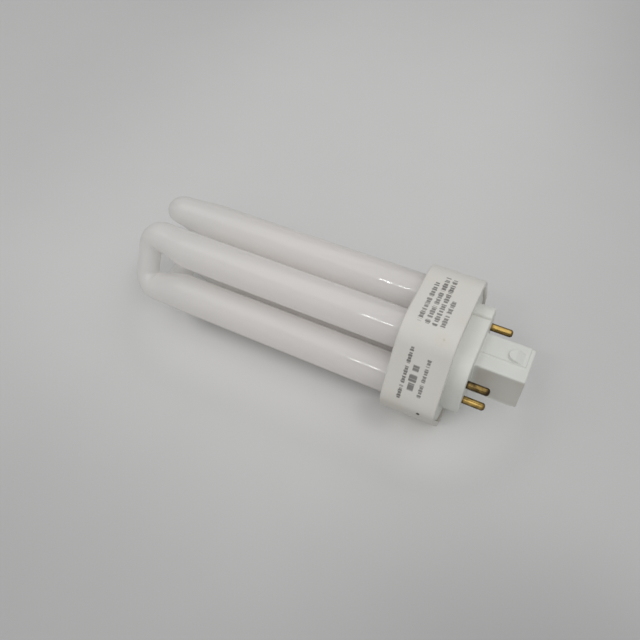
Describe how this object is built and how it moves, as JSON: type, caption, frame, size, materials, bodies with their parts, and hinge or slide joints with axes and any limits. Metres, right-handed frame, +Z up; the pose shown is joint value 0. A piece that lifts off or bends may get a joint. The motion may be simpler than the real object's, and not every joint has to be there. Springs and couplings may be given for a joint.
{
  "type": "compact fluorescent lamp",
  "caption": "Triple-tube compact fluorescent lamp with a six-sided plastic collar, a keyed base with a guide post, and brass contact pins.",
  "frame": {"origin": "on the floor, below the middle of the lamp's length, with the lamp lying on one flat of its collar", "axes": "+X along the lamp from the glass bends to the guide post, +Z up from the collar's resting flat, +Y across the lamp along the line from one row of pins to the other"},
  "size_m": [0.129, 0.0488, 0.0448],
  "materials": {
    "glass_tube": "gloss, opaque white coating behind clear glass",
    "collar_plastic": "satin warm white",
    "base_plastic": "satin cool white",
    "pin_brass": "worn, slightly tarnished",
    "cement": "matte",
    "lead_wire": "drawn wire"
  },
  "bodies": {
    "root": {"discharge_vessel": "glass_tube", "collar_housing": "collar_plastic", "base_cap": "base_plastic", "contact_pin_1": "pin_brass", "contact_pin_2": "pin_brass", "contact_pin_3": "pin_brass", "contact_pin_4": "pin_brass", "cement_ring_1": "cement", "cement_ring_2": "cement", "cement_ring_3": "cement", "cement_ring_4": "cement", "cement_ring_5": "cement", "cement_ring_6": "cement", "lead_wire_1": "lead_wire", "lead_wire_2": "lead_wire", "lead_wire_3": "lead_wire", "lead_wire_4": "lead_wire"}
  },
  "joints": []
}
